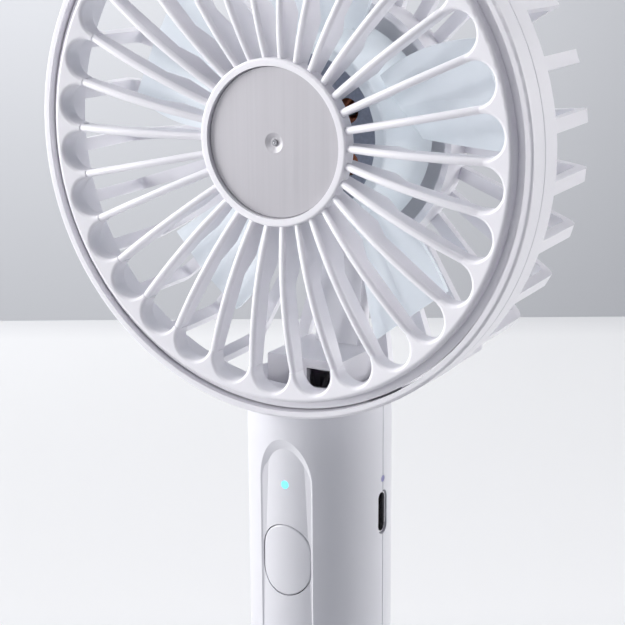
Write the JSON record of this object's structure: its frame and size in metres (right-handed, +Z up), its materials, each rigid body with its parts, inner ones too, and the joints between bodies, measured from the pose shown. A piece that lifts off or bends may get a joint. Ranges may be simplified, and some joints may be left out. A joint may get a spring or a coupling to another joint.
{
  "type": "handheld fan",
  "caption": "Rechargeable handheld fan with a round caged head, a push-button, an indicator lamp and a charging port on a straight round handle that stands on its flat end.",
  "frame": {"origin": "centre of the flat foot at the bottom of the handle", "axes": "+Z up along the handle, -Y towards the front grille along the fan's axis, +X towards the side with the charging port"},
  "size_m": [0.109, 0.0353, 0.2125],
  "materials": {
    "case_plastic": "satin moulded",
    "blade_plastic": "frosted clear plastic",
    "badge_metal": "satin, brushed",
    "pin_metal": "polished",
    "dark_steel": "satin",
    "bright_steel": "plated",
    "magnet": "sintered",
    "copper_wire": "enamelled wire",
    "bronze": "sintered, oiled",
    "inner_plastic": "moulded",
    "circuit_board": "solder mask",
    "chip_black": "moulded",
    "clear_plastic": "diffusing",
    "battery_can": "shrink film",
    "foam": "soft foam",
    "wire_cover": "smooth"
  },
  "bodies": {
    "housing": {"rear_cage": "case_plastic", "handle_front_shell": "case_plastic", "handle_rear_shell": "case_plastic", "end_cap": "case_plastic", "case_screws": "bright_steel", "power_switch": "bright_steel", "main_board": "circuit_board", "board_chips": "chip_black", "board_screws": "bright_steel", "usb_socket": "bright_steel", "usb_tongue": "chip_black", "light_guide": "clear_plastic", "power_led": "clear_plastic", "charge_lens": "clear_plastic", "charge_led": "clear_plastic", "battery_cell": "battery_can", "battery_pads": "foam", "battery_leads": "wire_cover", "motor_leads": "wire_cover", "motor_base": "inner_plastic", "motor_screws": "bright_steel", "stator_core": "dark_steel", "stator_windings": "copper_wire", "motor_board": "circuit_board", "motor_chips": "chip_black", "shaft_bearings": "bronze"},
    "grille": {"front_grille": "case_plastic", "hub_badge": "badge_metal", "badge_pin": "pin_metal"},
    "rotor": {"impeller": "blade_plastic", "rotor_bell": "dark_steel", "magnet_ring": "magnet", "motor_shaft": "bright_steel", "shaft_clip": "bright_steel"},
    "button": {"power_button": "case_plastic", "switch_plunger": "chip_black"}
  },
  "joints": [
    {"name": "impeller_spin", "type": "hinge", "parent": "housing", "child": "rotor", "pos_m": [0, 0, 0.158], "axis": [0, -1, 0], "continuous": true},
    {"name": "grille_twist", "type": "hinge", "parent": "housing", "child": "grille", "pos_m": [0, 0, 0.158], "axis": [0, -1, 0], "range_deg": [0, 14]},
    {"name": "power_button_press", "type": "slide", "parent": "housing", "child": "button", "axis": [0, 1, 0], "range_m": [0, 0.0005], "stiffness_N_per_m": 600, "springref_m": -0.0015}
  ]
}
